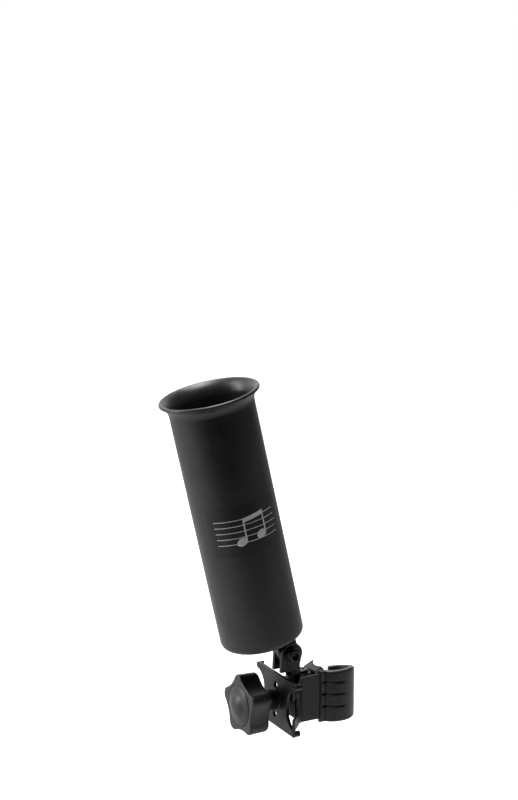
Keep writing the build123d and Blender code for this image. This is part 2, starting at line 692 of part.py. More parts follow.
def cup_shell():
    """Moulded plastic cup with two screw holes in its floor."""
    shell = revolve(Plane.XZ * cup_profile(), Axis.Z, 360)
    for x, y in lug_screw_places():
        shell -= rod_z(x, y, (-OVER, CUP_FLOOR + OVER), LUG_SCREW_R + SEAT)
    return in_cup(shell)


def tilt_lug():
    """Metal lug screwed under the cup: a flange and a tongue that turns on the tilt bolt."""
    px, pz = pivot_in_cup()
    flange = block(LUG_FLANGE_X, (-LUG_FLANGE_HALF_Y, LUG_FLANGE_HALF_Y), (-LUG_FLANGE_T, -SEAT))
    flange = fillet(flange.edges().filter_by(Axis.Z), LUG_FLANGE_ROUND)
    tongue = rod_y(px, pz, (-LUG_TONGUE_HALF, LUG_TONGUE_HALF), LUG_END_R)
    web = Polygon(
        (px - LUG_END_R, pz),
        (px + LUG_END_R, pz),
        (LUG_FLANGE_X[1] - LUG_WEB_INSET[1], -LUG_FLANGE_T),
        (LUG_FLANGE_X[0] + LUG_WEB_INSET[0], -LUG_FLANGE_T),
        align=None,
    )
    plane = Plane(origin=(0, LUG_TONGUE_HALF, 0), x_dir=(1, 0, 0), z_dir=(0, -1, 0))
    tongue += extrude(plane * web, 2 * LUG_TONGUE_HALF)
    lug = flange + tongue
    lug -= rod_y(px, pz, (-FAR, FAR), TILT_BOLT_R + RUN)
    for x, y in lug_screw_places():
        lug -= rod_z(x, y, (-LUG_FLANGE_T - OVER, OVER), LUG_SCREW_R + SEAT)
    return in_cup(lug)


def lug_screws():
    """Two screws from inside the cup, through its floor into the lug."""
    seat = CUP_FLOOR + LUG_WASHER_T
    screws = []
    for x, y in lug_screw_places():
        shank = rod_z(x, y, (-LUG_FLANGE_T - LUG_SCREW_PROUD, seat), LUG_SCREW_R)
        screws.append(in_cup(shank + Pos(0, y, 0) * pan_head(x, seat, LUG_HEAD_R, LUG_HEAD_H)))
    return Compound(screws)


def lug_washers():
    """Washer under each lug screw's head."""
    washers = []
    span = (CUP_FLOOR + SEAT, CUP_FLOOR + LUG_WASHER_T - SEAT)
    for x, y in lug_screw_places():
        washer = rod_z(x, y, span, LUG_WASHER_R) - rod_z(x, y, span, LUG_SCREW_R + SEAT)
        washers.append(in_cup(washer))
    return Compound(washers)


def floor_pad():
    """Soft pad on the cup's floor, cut out round the screw heads, that quietens the sticks."""
    span = (CUP_FLOOR + SEAT, CUP_FLOOR + PAD_T)
    pad = rod_z(0, 0, span, PAD_R)
    for x, y in lug_screw_places():
        pad -= rod_z(x, y, (0, FAR), PAD_HOLE_R)
    return in_cup(pad)


def cup_label():
    """Thin clear film on the cup's near side."""
    span = (LABEL_MID_Z - LABEL_H / 2, LABEL_MID_Z + LABEL_H / 2)
    half_deg = math.degrees(LABEL_W / 2 / CUP_R)
    skin_in = CUP_R + LABEL_GAP
    skin_out = CUP_R + LABEL_T
    with BuildSketch() as sketch:
        with BuildLine():
            CenterArc((0, 0), skin_out, LABEL_DEG - half_deg, 2 * half_deg)
            Line(polar(skin_out, LABEL_DEG + half_deg), polar(skin_in, LABEL_DEG + half_deg))
            CenterArc((0, 0), skin_in, LABEL_DEG - half_deg, 2 * half_deg)
            Line(polar(skin_in, LABEL_DEG - half_deg), polar(skin_out, LABEL_DEG - half_deg))
        make_face()
    return in_cup(Pos(0, 0, span[0]) * extrude(sketch.sketch, LABEL_H))


PARTS = (
    hook_strap,
    hook_boot,
    wing_plate,
    thread_boss,
    carrier_block,
    saddle_shoe,
    shoe_screws,
    retainer_ring,
    thrust_washer,
    swivel_screw,
    swivel_washer,
    clamp_screw,
    knob_body,
    knob_insert,
    knob_cap,
    screw_clip,
    swivel_bracket,
    tilt_bolt,
    tilt_nut,
    tilt_washers,
    friction_washers,
    cup_shell,
    tilt_lug,
    lug_screws,
    lug_washers,
    floor_pad,
    cup_label,
)

os.makedirs("parts", exist_ok=True)
for make in PARTS:
    export_step(make(), f"parts/{make.__name__}.step")
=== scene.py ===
"""Looks for a drum stick cup on a screw clamp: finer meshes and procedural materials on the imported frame."""

import json
import math

import bmesh
import bpy
from mathutils import Matrix, Vector


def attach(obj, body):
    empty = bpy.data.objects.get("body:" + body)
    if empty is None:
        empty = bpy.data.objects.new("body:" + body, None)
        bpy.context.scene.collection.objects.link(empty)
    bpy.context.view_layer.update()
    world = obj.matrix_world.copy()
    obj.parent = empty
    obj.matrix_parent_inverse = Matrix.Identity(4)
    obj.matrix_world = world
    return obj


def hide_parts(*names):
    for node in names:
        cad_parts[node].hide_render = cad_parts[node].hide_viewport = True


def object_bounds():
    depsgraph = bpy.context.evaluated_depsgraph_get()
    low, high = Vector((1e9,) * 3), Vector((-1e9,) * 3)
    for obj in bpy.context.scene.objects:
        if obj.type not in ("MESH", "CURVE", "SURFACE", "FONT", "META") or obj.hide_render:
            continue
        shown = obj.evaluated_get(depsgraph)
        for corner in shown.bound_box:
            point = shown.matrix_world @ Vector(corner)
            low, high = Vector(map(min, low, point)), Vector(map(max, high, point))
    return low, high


MM = 0.001
TAU = 2 * math.pi
TOUCHING = 1e-7  # vertices closer than this, in metres, are one vertex
CAD_TOUCHING = 1e-6  # the same for the facets of a kept CAD node
ON_PLANE = 1e-8  # vertices closer than this to a cutting plane lie on it
NORMAL_WEIGHT = 60  # how strongly the large faces set the shading
NEARLY_STRAIGHT = math.radians(89)  # half angle from which a corner is left as it is
SHARPEST_MITRE = 0.4  # limits how far a sharp corner moves when a loop is inset
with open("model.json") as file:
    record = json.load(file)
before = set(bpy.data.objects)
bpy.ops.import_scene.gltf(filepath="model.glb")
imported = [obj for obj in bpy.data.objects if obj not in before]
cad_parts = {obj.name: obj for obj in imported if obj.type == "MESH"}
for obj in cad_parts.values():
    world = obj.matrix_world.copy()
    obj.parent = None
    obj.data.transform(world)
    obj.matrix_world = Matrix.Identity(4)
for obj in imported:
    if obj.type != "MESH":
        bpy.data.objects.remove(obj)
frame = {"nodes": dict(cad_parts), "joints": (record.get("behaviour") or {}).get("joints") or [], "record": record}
cad_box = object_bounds()
mounts = {mount["name"]: mount for mount in frame["record"]["mounts"]}
joints = {joint["name"]: joint for joint in frame["joints"]}


# ---------------------------------------------------------------- outlines

def arc(cx, cy, radius, start, end, steps):
    """Points on an arc; the angles are in degrees."""
    turn = [math.radians(start + (end - start) * i / steps) for i in range(steps + 1)]
    return [(cx + radius * math.cos(a), cy + radius * math.sin(a)) for a in turn]


def rounded(points, radii, closed=True, steps=6):
    """A polygon or polyline with each corner replaced by an arc. radii is one number or one per point."""
    count = len(points)
    if not isinstance(radii, (list, tuple)):
        radii = [radii] * count
    out = []
    for i, (point, radius) in enumerate(zip(points, radii)):
        here = Vector(point)
        at_end = not closed and i in (0, count - 1)
        if at_end or radius <= 0:
            out.append(tuple(here))
            continue
        back = (Vector(points[i - 1]) - here).normalized()
        ahead = (Vector(points[(i + 1) % count]) - here).normalized()
        half = back.angle(ahead) / 2
        if half > NEARLY_STRAIGHT:
            out.append(tuple(here))
            continue
        centre = here + (back + ahead).normalized() * radius / math.sin(half)
        first = here + back * radius / math.tan(half) - centre
        last = here + ahead * radius / math.tan(half) - centre
        start = math.atan2(first.y, first.x)
        sweep = (math.atan2(last.y, last.x) - start + math.pi) % TAU - math.pi
        for k in range(steps + 1):
            a = start + sweep * k / steps
            out.append((centre.x + radius * math.cos(a), centre.y + radius * math.sin(a)))
    return out


def signed_area(loop):
    """Area of a closed loop, positive when it runs anticlockwise."""
    return sum(a[0] * b[1] - b[0] * a[1] for a, b in zip(loop, loop[1:] + loop[:1])) / 2


def inset_loop(loop, distance):
    """The closed loop moved inwards by distance, with mitred corners."""
    side = 1 if signed_area(loop) > 0 else -1
    moved = []
    for i, point in enumerate(loop):
        here = Vector(point)
        before = (here - Vector(loop[i - 1])).normalized()
        after = (Vector(loop[(i + 1) % len(loop)]) - here).normalized()
        n1 = Vector((-before.y, before.x))
        n2 = Vector((-after.y, after.x))
        n = (n1 + n2).normalized()
        moved.append(tuple(here + n * side * distance / max(SHARPEST_MITRE, n.dot(n1))))
    return moved


# ---------------------------------------------------------------- meshes

def piece(name, verts, faces, material, body, weighted=True):
    """Makes a smooth-shaded mesh object that rides on a body."""
    data = bpy.data.meshes.new(name)
    data.from_pydata([tuple(v) for v in verts], [], faces)
    bm = bmesh.new()
    bm.from_mesh(data)
    bmesh.ops.remove_doubles(bm, verts=bm.verts, dist=TOUCHING)
    bmesh.ops.recalc_face_normals(bm, faces=bm.faces)
    bm.to_mesh(data)
    bm.free()
    return dress(name, data, material, body, weighted)


def dress(name, data, material, body, weighted=True):
    """Makes a smooth object of a mesh, with its material and slot, riding on a body."""
    for polygon in data.polygons:
        polygon.use_smooth = True
    data.materials.append(material)
    obj = bpy.data.objects.new(name, data)
    bpy.context.scene.collection.objects.link(obj)
    if weighted:
        even = obj.modifiers.new("even_normals", "WEIGHTED_NORMAL")
        even.mode = "FACE_AREA_WITH_ANGLE"
        even.weight = NORMAL_WEIGHT
    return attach(obj, body)


def bridge(low, high):
    """Faces between two rings; a ring of one vertex is a pole."""
    count = max(len(low), len(high))
    faces = []
    for i in range(count):
        j = (i + 1) % count
        if len(low) == 1:
            faces.append((low[0], high[j], high[i]))
        elif len(high) == 1:
            faces.append((low[i], low[j], high[0]))
        else:
            faces.append((low[i], low[j], high[j], high[i]))
    return faces


def turned(rows, place, steps=96, closed=False):
    """Vertices and faces of a stack of rings. A row is (height, radius), or (height, radius(angle))."""
    verts = []
    rings = []
    for height, radius in rows:
        count = 1 if radius == 0 else steps
        ring = []
        for i in range(count):
            angle = TAU * i / steps
            r = radius(angle) if callable(radius) else radius
            ring.append(len(verts))
            verts.append(place @ Vector((r * math.cos(angle), r * math.sin(angle), height)))
        rings.append(ring)
    pairs = list(zip(rings, rings[1:]))
    if closed:
        pairs.append((rings[-1], rings[0]))
    faces = [face for low, high in pairs for face in bridge(low, high)]
    return verts, faces


def lathe_rows(points):
    """Rows for turned() from (radius, height) points."""
    return [(height, radius) for radius, height in points]


def ngon(flat, sides):
    """Radius function of a regular polygon with that distance from centre to flat."""
    step = TAU / sides

    def radius(angle):
        local = angle % step - step / 2
        return flat / math.cos(local)

    return radius


def cross(arm, half):
    """Radius function of a cross recess."""
    def radius(angle):
        c = max(abs(math.cos(angle)), 1e-6)
        s = max(abs(math.sin(angle)), 1e-6)
        return max(min(arm / c, half / s), min(arm / s, half / c))

    return radius


def sheet(outline, thickness, edge_r, bend, cuts):
    """A closed sheet-metal mesh: a flat outline with rounded edges, cut across at each u, then bent."""
    bm = bmesh.new()
    turns = 4
    quarter = [math.radians(90 * k / turns) for k in range(turns + 1)]
    top = [(edge_r * (1 - math.sin(a)), thickness / 2 - edge_r * (1 - math.cos(a))) for a in quarter]
    levels = top + [(inset, -w) for inset, w in reversed(top)]
    rings = []
    for inset, w in levels:
        rings.append([bm.verts.new((u, v, w)) for u, v in inset_loop(outline, inset)])
    for low, high in zip(rings, rings[1:]):
        for i in range(len(outline)):
            j = (i + 1) % len(outline)
            bm.faces.new((low[i], low[j], high[j], high[i]))
    for ring in (rings[0], rings[-1]):
        edges = [bm.edges.get((ring[i - 1], ring[i])) for i in range(len(ring))]
        bmesh.ops.triangle_fill(bm, use_beauty=True, use_dissolve=False, edges=edges)
    for u in cuts:
        geometry = bm.verts[:] + bm.edges[:] + bm.faces[:]
        bmesh.ops.bisect_plane(bm, geom=geometry, plane_co=(u, 0, 0), plane_no=(1, 0, 0), dist=ON_PLANE)
    for vert in bm.verts:
        vert.co = bend(*vert.co)
    bmesh.ops.recalc_face_normals(bm, faces=bm.faces)
    data = bpy.data.meshes.new("sheet")
    bm.to_mesh(data)
    bm.free()
    return data


# ---------------------------------------------------------------- materials

class Graph:
    """A material's node tree with short calls for the nodes used here."""

    def __init__(self, name):
        self.material = bpy.data.materials.new(name)
        self.material.use_nodes = True
        self.tree = self.material.node_tree
        self.tree.nodes.clear()
        self.shader = self.add("ShaderNodeBsdfPrincipled")
        output = self.add("ShaderNodeOutputMaterial")
        self.tree.links.new(self.shader.outputs[0], output.inputs["Surface"])
        self.where = self.add("ShaderNodeTexCoord").outputs["Object"]

    def add(self, kind, inputs=None, **settings):
        """A new node; inputs are values or sockets to link."""
        node = self.tree.nodes.new(kind)
        for key, value in settings.items():
            setattr(node, key, value)
        for key, value in (inputs or {}).items():
            self.put(node.inputs[key], value)
        return node

    def put(self, socket, value):
        """Links a socket, or sets its value."""
        if isinstance(value, bpy.types.NodeSocket):
            self.tree.links.new(value, socket)
        else:
            socket.default_value = value

    def set(self, **values):
        """Sets the shader's inputs; an underscore stands for a space."""
        for key, value in values.items():
            self.put(self.shader.inputs[key.replace("_", " ")], value)

    def stretch(self, x, y, z):
        """Object coordinates scaled per axis, for streaks."""
        return self.add("ShaderNodeMapping", {"Vector": self.where, "Scale": (x, y, z)}).outputs[0]

    def noise(self, size, detail=3.0, vector=None, rough=0.55):
        """Noise whose features are about size metres across."""
        inputs = {"Vector": vector or self.where, "Scale": 1 / size, "Detail": detail, "Roughness": rough}
        return self.add("ShaderNodeTexNoise", inputs).outputs["Fac"]

    def cells(self, size):
        """Distance from the middle of cells about size metres across."""
        inputs = {"Vector": self.where, "Scale": 1 / size}
        return self.add("ShaderNodeTexVoronoi", inputs, feature="F1").outputs["Distance"]

    def span(self, value, low, high, to_low, to_high):
        """Maps value from low..high to to_low..to_high, clamped."""
        inputs = {"Value": value, "From Min": low, "From Max": high, "To Min": to_low, "To Max": to_high}
        return self.add("ShaderNodeMapRange", inputs).outputs["Result"]

    def math(self, operation, a, b=0.0):
        """A math node's result."""
        node = self.add("ShaderNodeMath", {0: a, 1: b}, operation=operation)
        return node.outputs[0]

    def mix(self, factor, a, b):
        """Colour mix."""
        node = self.add("ShaderNodeMix", data_type="RGBA")
        for index, value in ((0, factor), (6, a), (7, b)):
            if isinstance(value, tuple):
                value = (*value, 1.0)
            self.put(node.inputs[index], value)
        return node.outputs[2]

    def bump(self, height, depth):
        """Bump whose height of 1 stands depth metres high."""
        inputs = {"Height": height, "Distance": depth, "Strength": 1.0}
        return self.add("ShaderNodeBump", inputs).outputs[0]

    def edge(self, radius):
        """1 along convex and concave edges, 0 on flat stretches."""
        soft = self.add("ShaderNodeBevel", {"Radius": radius}, samples=4).outputs[0]
        hard = self.add("ShaderNodeNewGeometry").outputs["Normal"]
        dot = self.add("ShaderNodeVectorMath", {0: soft, 1: hard}, operation="DOT_PRODUCT").outputs["Value"]
        flat, sharp = 0.99, 0.86
        return self.span(dot, flat, sharp, 0.0, 1.0)


def moulded_plastic(name, base, rough, grain=0.35 * MM, grain_depth=0.012 * MM, dust=0.5):
    """Satin black plastic: fine moulded grain, cloudy gloss, faint rubs along the part and specks of dust."""
    g = Graph(name)
    cloud = g.noise(18 * MM, 4.0)
    fine = g.noise(grain, 2.0)
    rubs = g.noise(5 * MM, 5.0, g.stretch(1.0, 1.0, 0.12), 0.7)
    lighter = tuple(min(1.0, 1.8 * c + 0.004) for c in base)
    colour = g.mix(g.span(cloud, 0.35, 0.7, 0.0, 0.6), base, lighter)
    speck = g.span(g.cells(7 * MM), 0.0, 0.035, dust, 0.0)
    colour = g.mix(speck, colour, (0.32, 0.31, 0.28))
    gloss = g.span(rubs, 0.3, 0.75, rough - 0.06, rough + 0.09)
    height = g.math("ADD", fine, g.math("MULTIPLY", rubs, 0.5))
    g.set(Base_Color=colour, Roughness=gloss, Normal=g.bump(height, grain_depth), IOR=1.5)
    return g.material


def powder_coat(name, base):
    """Black powder coat on steel: orange peel, dull dusty patches and thin bare wear on the edges."""
    rough = 0.42
    g = Graph(name)
    peel = g.noise(0.55 * MM, 2.5)
    cloud = g.noise(7 * MM, 5.0)
    chips = g.noise(0.9 * MM, 4.0, rough=0.7)
    edge = g.edge(0.35 * MM)
    # in the powder coat this edge mask is real wear only: bare steel showing on the edges
    edge_wear_and_painted_highlight = g.math("MULTIPLY", edge, g.span(chips, 0.56, 0.66, 0.0, 0.75))
    lighter = tuple(2.0 * c + 0.006 for c in base)
    colour = g.mix(g.span(cloud, 0.4, 0.75, 0.0, 0.7), base, lighter)
    colour = g.mix(edge_wear_and_painted_highlight, colour, (0.23, 0.22, 0.21))
    gloss = g.span(cloud, 0.3, 0.7, rough - 0.07, rough + 0.1)
    g.set(Base_Color=colour, Roughness=gloss, Metallic=g.math("MULTIPLY", edge_wear_and_painted_highlight, 0.9))
    g.set(Normal=g.bump(peel, 0.02 * MM))
    return g.material


def boot_rubber(name, base):
    """Soft black rubber with a faint bloom, fine pores and scuffs."""
    g = Graph(name)
    bloom = g.noise(9 * MM, 5.0)
    pores = g.noise(0.25 * MM, 2.0)
    scuff = g.noise(3 * MM, 6.0, g.stretch(0.3, 0.3, 1.6), 0.75)
    lighter = tuple(2.2 * c + 0.006 for c in base)
    colour = g.mix(g.span(bloom, 0.4, 0.75, 0.0, 0.8), base, lighter)
    g.set(Base_Color=colour, Roughness=g.span(scuff, 0.3, 0.7, 0.3, 0.45))
    g.set(Sheen_Weight=0.12, Sheen_Roughness=0.4, Normal=g.bump(g.math("ADD", pores, scuff), 0.014 * MM))
    return g.material


def black_zinc(name, base):
    """Dark plated fastener: metallic, slightly streaked, with a painted highlight: a lighter, patchy colour along
    the edges.
    """
    g = Graph(name)
    streaks = g.noise(1.1 * MM, 4.0, g.stretch(2.0, 0.5, 0.5))
    edge = g.edge(0.25 * MM)
    # painted highlight: a patchy mask along the edges that lightens the colour where light would catch the rims
    edge_wear_and_painted_highlight = g.math("MULTIPLY", edge, g.span(g.noise(0.7 * MM, 4.0), 0.42, 0.6, 0.1, 0.85))
    # the lighter colour here is painted highlight on the edges
    colour = g.mix(edge_wear_and_painted_highlight, base, (0.36, 0.35, 0.33))
    g.set(Base_Color=colour, Metallic=0.85, Roughness=g.span(streaks, 0.3, 0.7, 0.26, 0.42))
    g.set(Normal=g.bump(streaks, 0.006 * MM))
    return g.material


def turned_steel(name, base):
    """Bright steel with fine turning marks and a little tarnish."""
    g = Graph(name)
    marks = g.noise(0.12 * MM, 2.0, g.stretch(4.0, 0.4, 0.4))
    tarnish = g.noise(4 * MM, 5.0)
    colour = g.mix(g.span(tarnish, 0.5, 0.8, 0.0, 0.6), base, tuple(0.5 * c for c in base))
    g.set(Base_Color=colour, Metallic=1.0, Roughness=g.span(marks, 0.3, 0.7, 0.2, 0.38))
    g.set(Normal=g.bump(marks, 0.004 * MM))
    return g.material


def pressed_felt(name, base):
    """Dark felt: matted fibres at two sizes, and a sheen."""
    g = Graph(name)
    fibres = g.noise(0.4 * MM, 6.0, rough=0.8)
    tufts = g.noise(2.5 * MM, 4.0)
    lighter = tuple(2.4 * c for c in base)
    colour = g.mix(g.span(fibres, 0.35, 0.7, 0.0, 1.0), base, lighter)
    g.set(Base_Color=colour, Roughness=0.95, Sheen_Weight=0.5, Sheen_Roughness=0.5)
    g.set(Normal=g.bump(g.math("ADD", fibres, tufts), 0.15 * MM))
    return g.material


def label_film(name, base):
    """Clear film over the black cup: glossier than the plastic, with small bubbles and ripples."""
    g = Graph(name)
    ripple = g.noise(9 * MM, 2.0)
    bubbles = g.span(g.cells(3.5 * MM), 0.0, 0.12, 1.0, 0.0)
    height = g.math("ADD", ripple, g.math("MULTIPLY", bubbles, 0.35))
    g.set(Base_Color=(*base, 1.0), Roughness=g.span(ripple, 0.3, 0.7, 0.34, 0.42), IOR=1.42)
    g.set(Coat_Weight=0.12, Coat_Roughness=0.3, Normal=g.bump(height, 0.03 * MM))
    return g.material


def silver_ink(name):
    """Printed silver: fine metallic flake with tiny pinholes."""
    g = Graph(name)
    flake = g.noise(0.18 * MM, 3.0)
    colour = g.mix(g.span(flake, 0.35, 0.65, 0.0, 1.0), (0.56, 0.57, 0.58), (0.82, 0.82, 0.82))
    g.set(Base_Color=colour, Metallic=0.35, Roughness=g.span(flake, 0.3, 0.7, 0.35, 0.5))
    g.set(Normal=g.bump(flake, 0.006 * MM))
    return g.material


CUP_PLASTIC = moulded_plastic("cup_plastic", (0.0125, 0.0125, 0.0118), 0.36)
KNOB_PLASTIC = moulded_plastic("knob_plastic", (0.016, 0.017, 0.017), 0.38, 0.3 * MM, 0.014 * MM, 0.3)
PLAIN_PLASTIC = moulded_plastic("moulded_black", (0.009, 0.009, 0.009), 0.46, 0.3 * MM, 0.014 * MM, 0.2)
COAT = powder_coat("powder_coat", (0.0075, 0.0075, 0.0077))
RUBBER = boot_rubber("boot_rubber", (0.006, 0.006, 0.0066))
ZINC = black_zinc("black_fastener", (0.045, 0.045, 0.048))
STEEL = turned_steel("plain_steel", (0.52, 0.52, 0.53))
FELT = pressed_felt("pad_felt", (0.03, 0.03, 0.031))
FILM = label_film("label_film", (0.012, 0.012, 0.012))
SILVER = silver_ink("silver_ink")


# ---------------------------------------------------------------- places

def joint_point(name):
    """Where a joint's axis passes."""
    return Vector(joints[name]["pos_m"])


def cup_place():
    """Matrix from the cup's own frame, z up its axis from the underside and y along the tilt axis."""
    axis = Vector(mounts["stick_socket"]["axis"]).normalized()
    point = Vector(mounts["stick_socket"]["pos_m"])
    verts = frame["nodes"]["cup_shell"].data.vertices
    lowest = min((vert.co - point).dot(axis) for vert in verts)
    side = Vector((0, 1, 0))
    out = side.cross(axis)
    turn = Matrix((out, side, axis)).transposed().to_4x4()
    return Matrix.Translation(point + axis * lowest) @ turn


def along_screw():
    """Matrix whose z runs from the tube to the knob (-X), whose x is -Y and whose y is +Z."""
    return Matrix(((0, -1, 0), (0, 0, 1), (-1, 0, 0))).transposed().to_4x4()


def along_bolt():
    """Matrix on the tilt pivot whose z runs to the near side (-Y)."""
    turn = Matrix(((1, 0, 0), (0, 0, 1), (0, -1, 0))).transposed().to_4x4()
    return Matrix.Translation(joint_point("cup_tilt")) @ turn


def along_swivel():
    """Matrix on the swivel axis whose z is +Z, with its origin at height 0."""
    point = joint_point("bracket_swivel")
    return Matrix.Translation((point.x, point.y, 0))


CUP = cup_place()
CUP_IN_R = mounts["stick_socket"]["dims"]["r_mm"] * MM
CUP_WALL = 2.2 * MM
CUP_R = CUP_IN_R + CUP_WALL


# ---------------------------------------------------------------- cup

def cup_shell():
    """Cup: rounded foot, straight wall, rim flared outwards to a rounded lip, filleted floor."""
    edge_r = 3.8 * MM
    straight = 147.5 * MM
    floor = 3.0 * MM
    fillet = 3.3 * MM
    flare_r = 8.0 * MM
    flare = 60
    foot_r = 12 * MM
    foot_deep = 0.35 * MM
    centre = (CUP_R + flare_r, straight)
    lip_turn = math.radians(180 - flare)
    lip_mid_r = flare_r + CUP_WALL / 2
    lip = (centre[0] + lip_mid_r * math.cos(lip_turn), centre[1] + lip_mid_r * math.sin(lip_turn))
    points = [(0, foot_deep), (foot_r - 0.4 * MM, foot_deep), (foot_r, 0)]
    points += arc(CUP_R - edge_r, edge_r, edge_r, -90, 0, 10)
    points += [(CUP_R, edge_r + (straight - edge_r) * i / 24) for i in range(1, 24)]
    points += arc(*centre, flare_r, 180, 180 - flare, 12)
    points += arc(*lip, CUP_WALL / 2, -flare, 180 - flare, 10)[1:-1]
    points += arc(*centre, flare_r + CUP_WALL, 180 - flare, 180, 12)
    points += [(CUP_IN_R, straight + (floor + fillet - straight) * i / 24) for i in range(1, 24)]
    points += arc(CUP_IN_R - fillet, floor + fillet, fillet, 0, -90, 6)
    points += [(0, floor)]
    verts, faces = turned(lathe_rows(points), CUP, steps=144)
    shell = piece("cup_shell_moulded", verts, faces, CUP_PLASTIC, "cup", weighted=False)
    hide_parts("cup_shell")


LABEL_TURN = math.radians(-104)
LABEL_Z = 78.5 * MM
LABEL_HALF_W = 24.0 * MM
LABEL_HALF_H = 15.0 * MM
FILM_UNDER = 0.005 * MM
FILM_TOP = 0.11 * MM


def on_cup(u, v, lift):
    """Point on the cup's near side: u round the wall, v up it, lift above it."""
    angle = LABEL_TURN + u / CUP_R
    r = CUP_R + lift
    return CUP @ Vector((r * math.cos(angle), r * math.sin(angle), LABEL_Z + v))


def wrapped(name, rows, low, high, material, columns=24):
    """A thin closed patch on the cup. A row is its left and right ends, two (u, v) points."""
    verts = []
    width = columns + 1
    for lift in (low, high):
        for left, right in rows:
            for i in range(width):
                t = i / columns
                u = left[0] + (right[0] - left[0]) * t
                v = left[1] + (right[1] - left[1]) * t
                verts.append(on_cup(u, v, lift))
    count = len(rows)
    size = width * count
    faces = []
    for layer in (0, size):
        for r in range(count - 1):
            for c in range(columns):
                a = layer + r * width + c
                faces.append((a, a + 1, a + width + 1, a + width))
    rim = list(range(width))
    rim += [r * width + columns for r in range(1, count)]
    rim += [(count - 1) * width + c for c in range(columns - 1, -1, -1)]
    rim += [r * width for r in range(count - 2, 0, -1)]
    for a, b in zip(rim, rim[1:] + rim[:1]):
        faces.append((a, b, b + size, a + size))
    return piece(name, verts, faces, material, "cup")


def label():
    """Clear rectangular film with small rounded corners."""
    corner = 1.5 * MM
    rows = []
    for v_side in (-1, 1):
        turns = arc(0, 0, corner, -90, 0, 6) if v_side < 0 else arc(0, 0, corner, 0, 90, 6)
        for du, dv in turns:
            v = v_side * (LABEL_HALF_H - corner) + dv
            u = LABEL_HALF_W - corner + du
            rows.append(((-u, v), (u, v)))
    film = wrapped("cup_label_film", rows, FILM_UNDER, FILM_TOP, FILM, 40)
    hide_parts("cup_label")


def note_head(name, u, v, lift):
    """Tilted oval note head."""
    long_r, short_r = 3.3 * MM, 2.35 * MM
    tilt = math.radians(20)
    steps = 16
    last_deg = 89  # just short of the pole, where a row would have no width
    rows = []
    for i in range(steps + 1):
        a = math.radians(-last_deg + 2 * last_deg * i / steps)
        x, y = long_r * math.cos(a), short_r * math.sin(a)
        ends = []
        for side in (-x, x):
            along = side * math.cos(tilt) - y * math.sin(tilt)
            up = side * math.sin(tilt) + y * math.cos(tilt)
            ends.append((u + along, v + up))
        rows.append(tuple(ends))
    wrapped(name, rows, FILM_TOP, lift, SILVER, 10)


def bar(left, right, low, high):
    """Rows of an upright rectangle, for wrapped()."""
    return [((left, low), (right, low)), ((left, high), (right, high))]


def emblem():
    """A plain printed sign: two joined music notes on five stave lines."""
    stave_low, stave_step = -7.2, 3.6
    stave_half_w, stave_half_h = 19.5 * MM, 0.22 * MM
    stave_lift, head_lift, stem_lift, beam_lift = 0.125 * MM, 0.15 * MM, 0.16 * MM, 0.17 * MM
    note_gap = 12.5 * MM
    stem = 0.95 * MM
    stem_out = 3.25 * MM
    stem_from = 0.6 * MM
    left_u, low_v = -4.5 * MM, -6.5 * MM
    rise = 1.8 * MM
    stem_h = 14.0 * MM
    beam = 2.6 * MM
    for i in range(5):
        v = (stave_low + stave_step * i) * MM
        rows = bar(-stave_half_w, stave_half_w, v - stave_half_h, v + stave_half_h)
        wrapped(f"print_stave_{i + 1}", rows, FILM_TOP, stave_lift, SILVER, 40)
    for i, side in enumerate(("left", "right")):
        u = left_u + note_gap * i
        v = low_v + rise * i
        note_head(f"print_head_{side}", u, v, head_lift)
        edge = u + stem_out
        rows = bar(edge - stem, edge, v + stem_from, v + stem_h)
        wrapped(f"print_stem_{side}", rows, FILM_TOP, stem_lift, SILVER, 2)
    start = left_u + stem_out - stem
    end = left_u + note_gap + stem_out
    top = low_v + stem_h
    rows = [((start, top - beam), (end, top + rise - beam)), ((start, top), (end, top + rise))]
    wrapped("print_beam", rows, FILM_TOP, beam_lift, SILVER, 24)


# ---------------------------------------------------------------- knob

KNOB_FRONT = 65.4 * MM
KNOB_BACK = 51.8 * MM
LOBES = 5
FIRST_LOBE = math.radians(24)


def lobed(grow=0.0):
    """Radius of the knob's outline: five round lobes and the hollow arcs between them, all tangent."""
    lobe_r = 19.1 * MM
    valley_r = 15.0 * MM
    round_r = 4.6 * MM
    half = TAU / LOBES / 2
    centre = lobe_r - round_r
    short = valley_r - centre * math.cos(half) - round_r
    reach = round_r ** 2 - valley_r ** 2 - centre ** 2 + 2 * centre * valley_r * math.cos(half)
    hollow_r = reach / (2 * short)
    hollow = Vector((math.cos(half), math.sin(half))) * (valley_r + hollow_r)
    middle = Vector((centre, 0))
    touch = middle + (hollow - middle).normalized() * round_r
    touch_angle = math.atan2(touch.y, touch.x)

    def radius(angle):
        local = abs((angle - FIRST_LOBE + half) % (2 * half) - half)
        if local < touch_angle:
            r = centre * math.cos(local) + math.sqrt(round_r ** 2 - (centre * math.sin(local)) ** 2)
        else:
            off = half - local
            away = hollow.length
            r = away * math.cos(off) - math.sqrt(hollow_r ** 2 - (away * math.sin(off)) ** 2)
        return r + grow

    return radius


def blend_radius(circle, share, grow=0.0):
    """Between a circle (share 0) and the lobed outline (share 1)."""
    outline = lobed(grow)
    return lambda angle: circle + (outline(angle) - circle) * share


